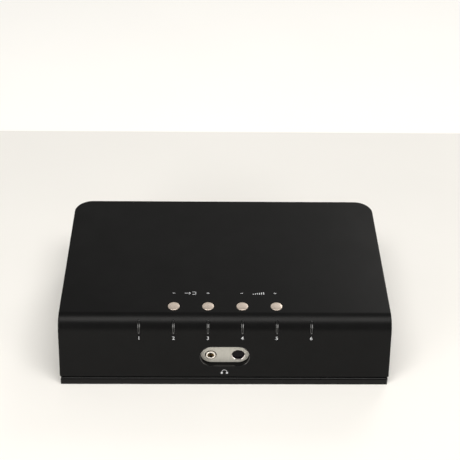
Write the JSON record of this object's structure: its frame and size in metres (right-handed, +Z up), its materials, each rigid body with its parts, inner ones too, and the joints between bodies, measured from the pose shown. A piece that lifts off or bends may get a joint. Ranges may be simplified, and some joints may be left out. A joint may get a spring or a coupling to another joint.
{
  "type": "desktop audio converter",
  "caption": "Low black desktop box with a leaning front, round silver buttons, slot lights, a recessed headphone socket and rear sockets.",
  "frame": {"origin": "centre of the underside of the rubber base", "axes": "+X to the right seen from the front, +Y towards the rear sockets, +Z up"},
  "size_m": [0.19, 0.1282, 0.0443],
  "materials": {
    "cover": "satin black powder coat on die-cast aluminium",
    "rubber": "moulded charcoal rubber",
    "steel": "plated sheet steel",
    "panel": "satin black",
    "board": "solder-masked board",
    "chip": "moulded epoxy",
    "ribbon": "flat cable",
    "face_plate": "bead-blasted anodised",
    "black_plastic": "moulded, satin",
    "ferrule": "bright plated",
    "ir_window": "infrared-passing, glossy black",
    "rocker": "moulded, satin",
    "usb_shell": "plated",
    "gold": "gold plated",
    "screws": "zinc plated",
    "buttons": "satin anodised",
    "light_guides": "smoked clear plastic",
    "led": "clear epoxy",
    "shutter": "moulded",
    "phono_body": "moulded, with plated barrels"
  },
  "bodies": {
    "casing": {"antenna_socket": "gold", "base_plate": "steel", "base_screw_1": "screws", "base_screw_2": "screws", "base_screw_3": "screws", "base_screw_4": "screws", "board_screw_1": "screws", "board_screw_2": "screws", "board_screw_3": "screws", "board_screw_4": "screws", "coax_socket_1": "phono_body", "coax_socket_2": "phono_body", "control_board": "board", "control_screw_left": "screws", "control_screw_right": "screws", "converter_chip": "chip", "dc_socket": "black_plastic", "headphone_jack": "black_plastic", "headphone_plate": "face_plate", "input_next_key_switch": "black_plastic", "input_previous_key_switch": "black_plastic", "ir_receiver": "black_plastic", "ir_window": "ir_window", "jack_ferrule": "ferrule", "light_guide_1": "light_guides", "light_guide_2": "light_guides", "light_guide_3": "light_guides", "light_guide_4": "light_guides", "light_guide_5": "light_guides", "light_guide_6": "light_guides", "line_out_fixed": "phono_body", "line_out_variable": "phono_body", "main_board": "board", "optical_socket_1": "black_plastic", "optical_socket_2": "black_plastic", "panel_screw_left": "screws", "panel_screw_right": "screws", "power_switch_housing": "black_plastic", "rear_panel": "panel", "ribbon_cable": "ribbon", "rubber_base": "rubber", "status_led_1": "led", "status_led_2": "led", "status_led_3": "led", "status_led_4": "led", "status_led_5": "led", "status_led_6": "led", "top_cover": "cover", "usb_chip": "chip", "usb_socket": "usb_shell", "volume_down_key_switch": "black_plastic", "volume_up_key_switch": "black_plastic", "wireless_module": "steel"},
    "input_previous_button": {"input_previous_button": "buttons"},
    "input_next_button": {"input_next_button": "buttons"},
    "volume_down_button": {"volume_down_button": "buttons"},
    "volume_up_button": {"volume_up_button": "buttons"},
    "power_rocker": {"power_rocker": "rocker"},
    "optical_shutter_1": {"optical_shutter_1": "shutter"},
    "optical_shutter_2": {"optical_shutter_2": "shutter"}
  },
  "joints": [
    {"name": "input_previous_press", "type": "slide", "parent": "casing", "child": "input_previous_button", "axis": [0, 0, -1], "range_m": [0, 0.0005], "stiffness_N_per_m": 700, "springref_m": -0.001},
    {"name": "input_next_press", "type": "slide", "parent": "casing", "child": "input_next_button", "axis": [0, 0, -1], "range_m": [0, 0.0005], "stiffness_N_per_m": 700, "springref_m": -0.001},
    {"name": "volume_down_press", "type": "slide", "parent": "casing", "child": "volume_down_button", "axis": [0, 0, -1], "range_m": [0, 0.0005], "stiffness_N_per_m": 700, "springref_m": -0.001},
    {"name": "volume_up_press", "type": "slide", "parent": "casing", "child": "volume_up_button", "axis": [0, 0, -1], "range_m": [0, 0.0005], "stiffness_N_per_m": 700, "springref_m": -0.001},
    {"name": "power_rock", "type": "hinge", "parent": "casing", "child": "power_rocker", "pos_m": [0.06975, 0.0585, 0.0224], "axis": [1, 0, 0], "range_deg": [0, 16]},
    {"name": "optical_shutter_1_swing", "type": "hinge", "parent": "casing", "child": "optical_shutter_1", "pos_m": [0.02048, 0.0585, 0.02105], "axis": [-1, 0, 0], "range_deg": [0, 80], "stiffness_Nm_per_rad": 0.0004, "springref_deg": -34.38},
    {"name": "optical_shutter_2_swing", "type": "hinge", "parent": "casing", "child": "optical_shutter_2", "pos_m": [0.00523, 0.0585, 0.02105], "axis": [-1, 0, 0], "range_deg": [0, 80], "stiffness_Nm_per_rad": 0.0004, "springref_deg": -34.38}
  ]
}
